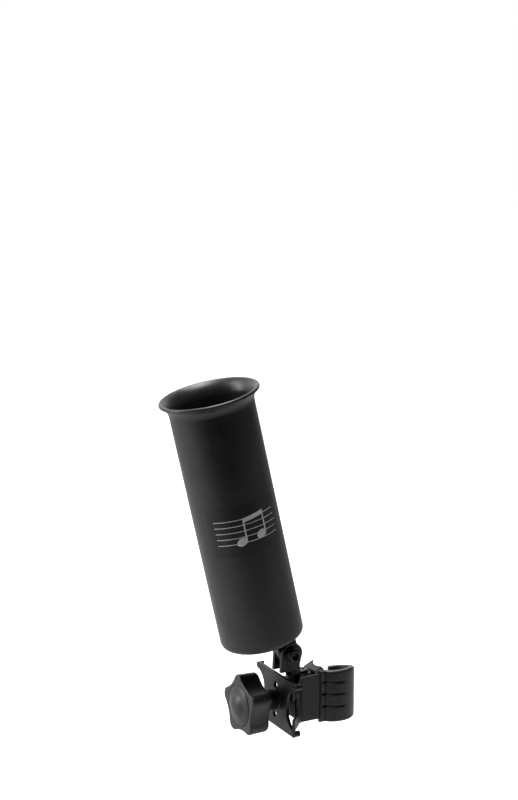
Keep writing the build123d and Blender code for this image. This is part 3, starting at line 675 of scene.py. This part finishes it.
def knob():
    """Five-lobed knob with a domed cap: tight front edge, fuller back edge, slightly tapered sides."""
    cap_r = 12.4 * MM
    front_r = 1.1 * MM
    back_r = 2.2 * MM
    taper = 0.35 * MM
    hub_r = 6.3 * MM
    hub_end = 47.1 * MM
    inner = 62.95 * MM
    mouth_r = 4.2 * MM
    bore_r = 4.0 * MM
    bore_depth = 1.5 * MM
    rows = [(inner, 0), (inner, cap_r * 0.6), (inner, cap_r), (KNOB_FRONT - 0.5 * MM, cap_r)]
    rows += [(KNOB_FRONT - 0.12 * MM, cap_r + 0.12 * MM), (KNOB_FRONT, cap_r + 0.45 * MM)]
    rows += [(KNOB_FRONT, blend_radius(cap_r + 0.5 * MM, share, -front_r)) for share in (0.3, 0.65)]
    for k in range(7):
        a = math.radians(90 * k / 6)
        rows.append((KNOB_FRONT - front_r * (1 - math.cos(a)), lobed(-front_r * (1 - math.sin(a)))))
    side_low = KNOB_BACK + back_r
    side_high = KNOB_FRONT - front_r
    for k in range(1, 8):
        t = k / 8
        rows.append((side_high + (side_low - side_high) * t, lobed(-taper * t)))
    for k in range(8):
        a = math.radians(90 * k / 7)
        rows.append((side_low - back_r * math.sin(a), lobed(-taper - back_r * (1 - math.cos(a)))))
    hub_fillet = 1.0 * MM
    wide = hub_r + hub_fillet
    rows += [(KNOB_BACK, blend_radius(wide, share, -taper - back_r)) for share in (0.75, 0.5, 0.25)]
    rows += [(KNOB_BACK - hub_fillet + z, r) for r, z in arc(wide, 0, hub_fillet, 90, 180, 5)]
    hub = [(hub_r, KNOB_BACK - 1.5 * MM), (hub_r, hub_end), (mouth_r, hub_end)]
    rows += [(z, r) for r, z in rounded(hub, 0.5 * MM, False)]
    rows += [(hub_end + bore_depth, bore_r), (hub_end + bore_depth, 0)]
    verts, faces = turned(rows, along_screw(), steps=180)
    body = piece("knob_body_moulded", verts, faces, KNOB_PLASTIC, "knob")
    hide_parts("knob_body")

    rise = 2.4 * MM
    nub_r = 6.6 * MM
    nub_top = KNOB_FRONT + 3.7 * MM
    foot_r = 1.0 * MM
    sphere_r = (cap_r ** 2 + rise ** 2) / (2 * rise)

    def dome(r):
        return KNOB_FRONT + math.sqrt(sphere_r ** 2 - r ** 2) - sphere_r + rise

    rim = cap_r - 0.05 * MM
    points = [(0, inner + 0.1 * MM), (rim, inner + 0.1 * MM), (rim, KNOB_FRONT - 0.35 * MM)]
    points += [(rim - 0.1 * MM, KNOB_FRONT - 0.1 * MM)]
    outer = rim - 0.3 * MM
    inner_r = nub_r + foot_r
    points += [(r, dome(r)) for r in (outer - (outer - inner_r) * k / 12 for k in range(1, 13))]
    nub_low = dome(nub_r) + 0.15 * MM
    for k in range(1, 15):
        r = nub_r * (1 - k / 14)
        points.append((r, nub_low + (nub_top - nub_low) * (1 - (r / nub_r) ** 2) ** 0.75))
    verts, faces = turned(lathe_rows(points), along_screw(), steps=96)
    cap = piece("knob_cap_moulded", verts, faces, KNOB_PLASTIC, "knob")
    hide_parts("knob_cap")


def clamp_screw():
    """M8 screw with its rolled thread cut as a helix, a plain tip and the clip's groove."""
    crest = 3.93 * MM
    root = 3.3 * MM
    pitch = 1.25 * MM
    front = 62.8 * MM
    thread_end = 30.0 * MM
    tip = 25.4 * MM
    groove = (27.3 * MM, 28.3 * MM)
    groove_r = 3.05 * MM
    chamfer = 0.8 * MM

    flank_top = 1.35  # over 1, so that the crest has a flat
    flank_fall = 2.9  # in depths of thread per turn

    def thread(height):
        """Radius round the screw at that height, so that the ridge climbs one pitch in a turn."""
        def radius(angle):
            phase = (height / pitch + angle / TAU) % 1.0
            ridge = min(1.0, max(0.0, flank_top - flank_fall * abs(phase - 0.5)))
            return root + (crest - root) * ridge

        return radius

    rows = [(front, 0)]
    steps = int((front - thread_end) / (pitch / 8))
    for k in range(steps + 1):
        height = front - (front - thread_end) * k / steps
        rows.append((height, thread(height)))
    rows += [(thread_end - 0.2 * MM, crest), (groove[1], crest), (groove[1], groove_r)]
    rows += [(groove[0], groove_r), (groove[0], crest)]
    rows += [(tip + chamfer, crest), (tip, crest - chamfer), (tip, 0)]
    verts, faces = turned(rows, along_screw(), steps=72)
    screw = piece("clamp_screw_threaded", verts, faces, ZINC, "knob", weighted=False)
    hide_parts("clamp_screw")


# ---------------------------------------------------------------- clamp

def thread_boss():
    """Round boss welded into the plate, with a small weld bead at its foot."""
    front = 47.0 * MM
    foot = 40.0 * MM
    back = 38.0 * MM
    bore = 4.0 * MM
    outer = rounded([(bore, front), (6.3 * MM, front), (6.3 * MM, foot + 1.2 * MM)], [0, 0.7 * MM, 0], False)
    bead = arc(6.3 * MM, foot + 0.1 * MM, 0.9 * MM, 90, 0, 5)
    points = outer + bead + [(5.0 * MM, foot), (5.0 * MM, back), (bore, back)]
    verts, faces = turned(lathe_rows(points), along_screw(), steps=72, closed=True)
    boss = piece("thread_boss_welded", verts, faces, COAT, "hook_frame")
    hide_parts("thread_boss")


STRAP_T = 1.6 * MM
RING_R = 12.6 * MM
ARM_Y = 8.5 * MM
ARM_BEND_X = -26.75 * MM
FLARE = math.radians(47)
BEND_R = 1.6 * MM
JOG_R = 1.8 * MM
STRAP_Z = (-14.6 * MM, 13.9 * MM)
TAPER_Y = -11.0 * MM
TAPER = math.tan(math.radians(14))


def walk(parts, s):
    """Plan position and outward normal after a run of straights and bends. A part is (length, turn)."""
    place, heading = Vector((0, 0)), 0.0
    for i, (length, turn) in enumerate(parts):
        step = s if i == len(parts) - 1 else min(s, length)
        ahead = Vector((math.cos(heading), math.sin(heading)))
        side = Vector((math.sin(heading), -math.cos(heading)))
        if turn:
            radius = length / turn
            angle = step / radius
            place = place + (ahead * math.sin(angle) + side * (math.cos(angle) - 1)) * radius
            heading += angle
        else:
            place = place + ahead * step
        s -= step
        if s <= 0 or i == len(parts) - 1:
            return place, Vector((math.sin(heading), -math.cos(heading)))


def hook_parts():
    """The strap's middle line from the hook side of the jog: jog outwards, then round the tube."""
    jog = math.acos((ARM_Y + JOG_R) / (RING_R + JOG_R))
    return jog, [(JOG_R * jog, -jog), (RING_R * math.radians(200), math.radians(200))]


def strap_path(s):
    """Plan position and outward normal: s is 0 at the jog beside the tube, + to the tube, - to the plate."""
    jog, parts = hook_parts()
    start = Vector((-(RING_R + JOG_R) * math.sin(jog), -ARM_Y))
    if s >= 0:
        place, normal = walk(parts, s)
        return start + place, normal
    bend = BEND_R * math.tan(FLARE / 2)
    straight = start.x - ARM_BEND_X - bend
    place, normal = walk([(straight, 0), (BEND_R * FLARE, FLARE), (60 * MM, 0)], -s)
    return start - place, normal


def top_drop(point):
    """How far the top edge has fallen at that place: past the ring's middle it falls to the tip."""
    if point.x < 0:
        return 0.0
    return max(0.0, point.y - TAPER_Y) * TAPER


def strap_length_to(x):
    """The distance s on the plate side at which the strap's middle line reaches that x."""
    low, high = -60 * MM, 0.0
    for _ in range(40):
        mid = (low + high) / 2
        if strap_path(mid)[0].x > x:
            high = mid
        else:
            low = mid
    return low


def hook_strap():
    """Steel strap: hook (inside the boot), arm, and a flared end with a window and two hooked legs."""
    low, high = STRAP_Z
    leg_low, leg_high = -13.0 * MM, 10.3 * MM
    tab_low, tab_high = -16.7 * MM, 14.1 * MM
    window_low, window_high = -5.5 * MM, 6.5 * MM
    jog, _ = hook_parts()
    tip = JOG_R * jog + RING_R * math.radians(57 + 90 + math.degrees(jog))
    bend_s = strap_length_to(-27.0 * MM)
    leg_s = strap_length_to(-31.4 * MM)
    window_s = strap_length_to(-33.0 * MM)
    tab_s = strap_length_to(-40.95 * MM)
    end = strap_length_to(-41.9 * MM)
    corners = [
        (tip, low), (bend_s, low), (leg_s, leg_low), (tab_s, leg_low), (tab_s, tab_low), (end, tab_low),
        (end, window_low), (window_s, window_low), (window_s, window_high), (end, window_high),
        (end, tab_high), (tab_s, tab_high), (tab_s, leg_high), (leg_s, leg_high), (bend_s, high), (tip, high),
    ]
    radii = [2, 3, 2, 0.4, 0.5, 0.5, 0.5, 2.4, 2.4, 0.5, 0.5, 0.5, 0.4, 2, 3, 2]
    outline = rounded(corners, [r * MM for r in radii])

    def bent(u, v, w):
        point, normal = strap_path(u)
        place = point + normal * w
        share = (v - low) / (high - low)
        return Vector((place.x, place.y, v - share * top_drop(point)))

    ring_start = JOG_R * jog
    cuts = [ring_start + (tip - ring_start) * i / 28 for i in range(28)]
    cuts += [ring_start * i / 6 for i in range(6)]
    bend_start = strap_length_to(ARM_BEND_X + BEND_R * math.tan(FLARE / 2))
    cuts += [bend_start - BEND_R * FLARE * i / 6 for i in range(7)]
    data = sheet(outline, STRAP_T, 0.35 * MM, bent, cuts)
    strap = dress("hook_strap_bent", data, COAT, "hook_frame")
    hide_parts("hook_strap")


def hook_boot():
    """Rubber boot over the hook: a collar on the arm, a ring round the tube, three grooves, a round tip."""
    low, full_high = -17.0 * MM, 15.5 * MM
    collar_wall, ring_wall = 0.9 * MM, 1.3 * MM
    inner_wall = 0.6 * MM
    collar_x = -13.6 * MM
    tip = math.radians(66)
    rim = 1.3 * MM
    grooves = (8.5 * MM, 1.0 * MM, -6.8 * MM)
    groove_half = 1.15 * MM
    groove_deep = 0.7 * MM
    inner_edge = 0.5 * MM
    mouth_pinch, mouth_run = 0.35 * MM, 0.8 * MM
    tip_run = 1.2 * MM
    tip_least = 0.45  # share of the wall left at the very tip
    row_gap = 0.02 * MM  # least distance between rows where the falling top squeezes them
    half_t = STRAP_T / 2
    jog, _ = hook_parts()
    back_s = strap_length_to(collar_x)
    ring_s = JOG_R * jog
    tip_s = ring_s + RING_R * (tip + math.pi / 2 + jog)
    fade = (ring_s + RING_R * (jog + math.radians(-2)), ring_s + RING_R * (jog + math.radians(9)))

    def depth_at(z, s):
        """How far the outside is pushed in by a groove at that height and place."""
        share = 0.0
        for g in grooves:
            if abs(z - g) < groove_half:
                share = 0.5 + 0.5 * math.cos(math.pi * (z - g) / groove_half)
        ahead = min(1.0, max(0.0, (fade[1] - s) / (fade[1] - fade[0])))
        behind = min(1.0, max(0.0, (s - back_s) / (1.4 * MM) - 0.4))
        return groove_deep * share * ahead * behind

    heights = [low + rim]
    for g in sorted(grooves):
        heights += [g + groove_half * k / 6 for k in range(-7, 8)]
    turns = [math.radians(90 * k / 6) for k in range(7)]
    collar = [back_s + (0 - back_s) * k / 10 for k in range(10)]
    jog_run = [ring_s * k / 8 for k in range(8)]
    ring_run = [ring_s + (tip_s - ring_s) * k / 90 for k in range(91)]
    stations = collar + jog_run + ring_run
    verts = []
    rings = []
    for s in stations:
        centre, normal = strap_path(s)
        from_back = s - back_s
        from_tip = tip_s - s
        on_ring = min(1.0, max(0.0, s / ring_s))
        in_w = -half_t - inner_wall
        out_w = half_t + collar_wall + (ring_wall - collar_wall) * on_ring
        high = full_high - top_drop(centre)
        open_end = mouth_pinch * max(0.0, 1 - from_back / mouth_run) ** 2
        round_tip = min(1.0, from_tip / tip_run)
        squeeze = math.sqrt(max(0.0, 1 - (1 - round_tip) ** 2)) * (1 - tip_least) + tip_least
        outer = [(high - rim + rim * math.sin(a), out_w - rim + rim * math.cos(a)) for a in turns]
        side = heights + [high - rim]
        section = []
        for i, z in enumerate(side):
            under_rim = high - rim - row_gap * (len(side) - i)
            section.append((min(z, under_rim), out_w - depth_at(z, s)))
        section += outer[1:]
        section += [(high, in_w + inner_edge), (high - inner_edge, in_w)]
        section += [(low + inner_edge, in_w), (low, in_w + inner_edge)]
        section += [(low + high - z, w) for z, w in reversed(outer[1:])]
        ring = []
        for z, w in section:
            if w > 0:
                w -= open_end
            place = centre + normal * (w * squeeze)
            ring.append(len(verts))
            verts.append(Vector((place.x, place.y, z)))
        rings.append(ring)
    faces = [face for a, b in zip(rings, rings[1:]) for face in bridge(a, b)]
    faces += [tuple(rings[0]), tuple(reversed(rings[-1]))]
    boot = piece("hook_boot_rubber", verts, faces, RUBBER, "hook_frame")
    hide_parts("hook_boot")


def soften(node, material, width, angle=32):
    """Keeps a CAD node, welds its facets, rounds its edges and gives it a material."""
    obj = frame["nodes"][node]
    obj.data.materials.clear()
    obj.data.materials.append(material)
    weld = obj.modifiers.new("weld", "WELD")
    weld.merge_threshold = CAD_TOUCHING
    bevel = obj.modifiers.new("round", "BEVEL")
    bevel.width = width
    bevel.segments = 3
    bevel.limit_method = "ANGLE"
    bevel.angle_limit = math.radians(angle)
    even = obj.modifiers.new("even_normals", "WEIGHTED_NORMAL")
    even.weight = NORMAL_WEIGHT
    return obj


# ---------------------------------------------------------------- bracket and fasteners

def swivel_bracket():
    """Clevis bent from one strip, with a foot and two ears with round heads: the CAD node, kept with rounded edges
    and the powder coat.
    """
    soften("swivel_bracket", COAT, 0.3 * MM)


def tilt_bolt():
    """Button-head socket bolt."""
    seat = 6.4 * MM
    head_h = 3.0 * MM
    head_r = 4.6 * MM
    end = -11.4 * MM
    shank = 2.48 * MM
    top = seat + head_h
    socket_depth = 2.0 * MM
    edge_r = 1.5 * MM
    lead = 0.25 * MM
    chamfer = 0.6 * MM
    rows = [(top - socket_depth, 0), (top - socket_depth, ngon(1.9 * MM, 6))]
    rows += [(top - lead, ngon(2.0 * MM, 6)), (top, ngon(2.3 * MM, 6)), (top, 3.2 * MM)]
    rows += [(z, r) for r, z in arc(head_r - edge_r, top - edge_r, edge_r, 80, 0, 6)]
    rows += [(seat + lead, head_r), (seat, head_r - lead), (seat, shank), (end + chamfer, shank)]
    rows += [(end, shank - chamfer), (end, 0)]
    verts, faces = turned(rows, along_bolt(), steps=72)
    bolt = piece("tilt_bolt_turned", verts, faces, ZINC, "bracket")
    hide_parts("tilt_bolt")


def swivel_screw():
    """Cross-recess pan head on the swivel axis."""
    seat = 14.0 * MM
    rise = 2.0 * MM
    head_r = 4.2 * MM
    recess = cross(2.4 * MM, 0.55 * MM)
    deep = cross(1.5 * MM, 0.45 * MM)
    top = seat + rise
    recess_depth = 1.3 * MM
    edge_r = 1.1 * MM
    shank = 2.45 * MM
    end = -0.9 * MM
    rows = [(top - recess_depth, 0), (top - recess_depth, deep), (top, recess), (top, 2.9 * MM)]
    rows += [(z, r) for r, z in arc(head_r - edge_r, top - edge_r, edge_r, 80, 0, 6)]
    rows += [(seat, head_r - 0.1 * MM), (seat, shank), (end, shank), (end, 0)]
    verts, faces = turned(rows, along_swivel(), steps=96)
    screw = piece("swivel_screw_turned", verts, faces, ZINC, "carrier")
    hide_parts("swivel_screw")


def ring_piece(name, place, span, in_r, out_r, edge, body, node=None):
    """A flat plated ring with rounded edges, standing in for a CAD node if one is named."""
    low, high = span
    corners = [(in_r, low), (out_r, low), (out_r, high), (in_r, high)]
    verts, faces = turned(lathe_rows(rounded(corners, edge, steps=4)), place, steps=72, closed=True)
    ring = piece(name, verts, faces, ZINC, body)
    if node:
        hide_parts(node)


def washers():
    """The washer under the swivel screw's head and the two on the tilt bolt."""
    hole = 2.55 * MM
    low, high = 13.06 * MM, 13.95 * MM
    ring_piece("swivel_washer_flat", along_swivel(), (low, high), hole, 5.3 * MM, 0.25 * MM, "carrier",
               "swivel_washer")
    inner, outer = 5.53 * MM, 6.38 * MM
    tilt_r = 5.4 * MM
    ring_piece("tilt_washer_near", along_bolt(), (inner, outer), hole, tilt_r, 0.2 * MM, "bracket",
               "tilt_washers")
    ring_piece("tilt_washer_far", along_bolt(), (-outer, -inner), hole, tilt_r, 0.2 * MM, "bracket")


def dress_cad():
    """The CAD nodes that stay: rounded edges and their own material."""
    for node, material, width in (
        ("wing_plate", COAT, 0.4 * MM),
        ("carrier_block", COAT, 0.35 * MM),
        ("saddle_shoe", PLAIN_PLASTIC, 0.4 * MM),
        ("shoe_screws", ZINC, 0.15 * MM),
        ("retainer_ring", ZINC, 0.12 * MM),
        ("thrust_washer", STEEL, 0.08 * MM),
        ("screw_clip", STEEL, 0.1 * MM),
        ("knob_insert", STEEL, 0.15 * MM),
        ("tilt_nut", ZINC, 0.2 * MM),
        ("friction_washers", PLAIN_PLASTIC, 0.08 * MM),
        ("tilt_lug", COAT, 0.4 * MM),
        ("lug_screws", ZINC, 0.15 * MM),
        ("lug_washers", ZINC, 0.1 * MM),
        ("floor_pad", FELT, 0.6 * MM),
    ):
        soften(node, material, width)


# ---------------------------------------------------------------- stage

CAMERA_SIDE = Vector((-0.5, -0.866, 0))


def stage():
    """Pale floor well below the part, from just in front of it to far behind."""
    drop = 0.10
    floor_z = cad_box[0].z - drop
    near, far, half = 0.42, -9.0, 7.0
    across = Vector((0.866, -0.5, 0))
    corners = []
    for along, side in ((near, -half), (near, half), (far, half), (far, -half)):
        corners.append(CAMERA_SIDE * along + across * side + Vector((0, 0, floor_z)))
    data = bpy.data.meshes.new("floor")
    data.from_pydata([tuple(c) for c in corners], [], [(0, 1, 2, 3)])
    g = Graph("floor_paper")
    cloud = g.span(g.noise(0.4, 3.0), 0.3, 0.7, 0.0, 1.0)
    g.set(Base_Color=g.mix(cloud, (0.55, 0.55, 0.55), (0.58, 0.58, 0.58)))
    g.set(Roughness=0.95, Normal=g.bump(g.noise(1.5 * MM, 2.0), 0.02 * MM))
    seen = g.add("ShaderNodeLightPath").outputs["Is Camera Ray"]
    g.set(Emission_Color=(1.0, 1.0, 1.0, 1.0), Emission_Strength=g.span(seen, 0.0, 1.0, 0.0, 1.0))
    data.materials.append(g.material)
    floor = bpy.data.objects.new("floor", data)
    bpy.context.scene.collection.objects.link(floor)


def lamps():
    """A tall soft light on the left, one overhead, and one over the floor behind."""
    for name, place, target, size, power in (
        ("left", (-1.5, 0.8, 0.7), (-0.05, 0, 0.06), (0.6, 1.4), 19.0),
        ("overhead", (-0.15, 0.05, 1.3), (-0.03, 0, 0.0), (0.9, 0.5), 20.0),
        ("behind", (1.2, 2.2, 2.4), (0.8, 1.6, -0.1), (3.0, 3.0), 15.0),
    ):
        lamp = bpy.data.lights.new(name, "AREA")
        lamp.shape = "RECTANGLE"
        lamp.size, lamp.size_y = size
        lamp.energy = power
        obj = bpy.data.objects.new(name, lamp)
        obj.location = place
        obj.rotation_euler = (Vector(target) - Vector(place)).to_track_quat("-Z", "Y").to_euler()
        bpy.context.scene.collection.objects.link(obj)


def surroundings():
    """White behind the part; the side the camera stands on is a dim room."""
    world = bpy.data.worlds.new("surroundings")
    bpy.context.scene.world = world
    world.use_nodes = True
    tree = world.node_tree
    tree.nodes.clear()

    def add(kind, **settings):
        node = tree.nodes.new(kind)
        for key, value in settings.items():
            setattr(node, key, value)
        return node

    where = add("ShaderNodeTexCoord")
    dot = add("ShaderNodeVectorMath", operation="DOT_PRODUCT")
    dot.inputs[1].default_value = (0.0, 1.0, 0.0)
    tree.links.new(where.outputs["Generated"], dot.inputs[0])
    level = add("ShaderNodeMapRange")
    for key, value in (("From Min", 0.1), ("From Max", 0.92), ("To Min", 0.008), ("To Max", 1.25)):
        level.inputs[key].default_value = value
    tree.links.new(dot.outputs["Value"], level.inputs["Value"])
    seen = add("ShaderNodeLightPath")
    pick = add("ShaderNodeMix", data_type="FLOAT")
    tree.links.new(seen.outputs["Is Camera Ray"], pick.inputs[0])
    tree.links.new(level.outputs["Result"], pick.inputs[2])
    pick.inputs[3].default_value = 1.0
    sky = add("ShaderNodeBackground")
    sky.inputs["Color"].default_value = (1.0, 1.0, 1.0, 1.0)
    tree.links.new(pick.outputs[0], sky.inputs["Strength"])
    out = add("ShaderNodeOutputWorld")
    tree.links.new(sky.outputs[0], out.inputs["Surface"])


def camera():
    """The photograph's viewing angle: from the near side, 30 degrees to the left and 9 degrees down."""
    data = bpy.data.cameras.new("camera")
    data.sensor_width = 36.0
    data.lens = 73.8
    obj = bpy.data.objects.new("camera", data)
    obj.location = (-0.5278, -0.8253, 0.339)
    obj.rotation_euler = (math.radians(80.85), 0.0, math.radians(-30.0))
    bpy.context.scene.collection.objects.link(obj)
    bpy.context.scene.camera = obj
    bpy.context.scene.view_settings.view_transform = "Standard"


cup_shell()
label()
emblem()
knob()
clamp_screw()
thread_boss()
hook_strap()
hook_boot()
swivel_bracket()
tilt_bolt()
swivel_screw()
washers()
dress_cad()
stage()
lamps()
surroundings()
camera()
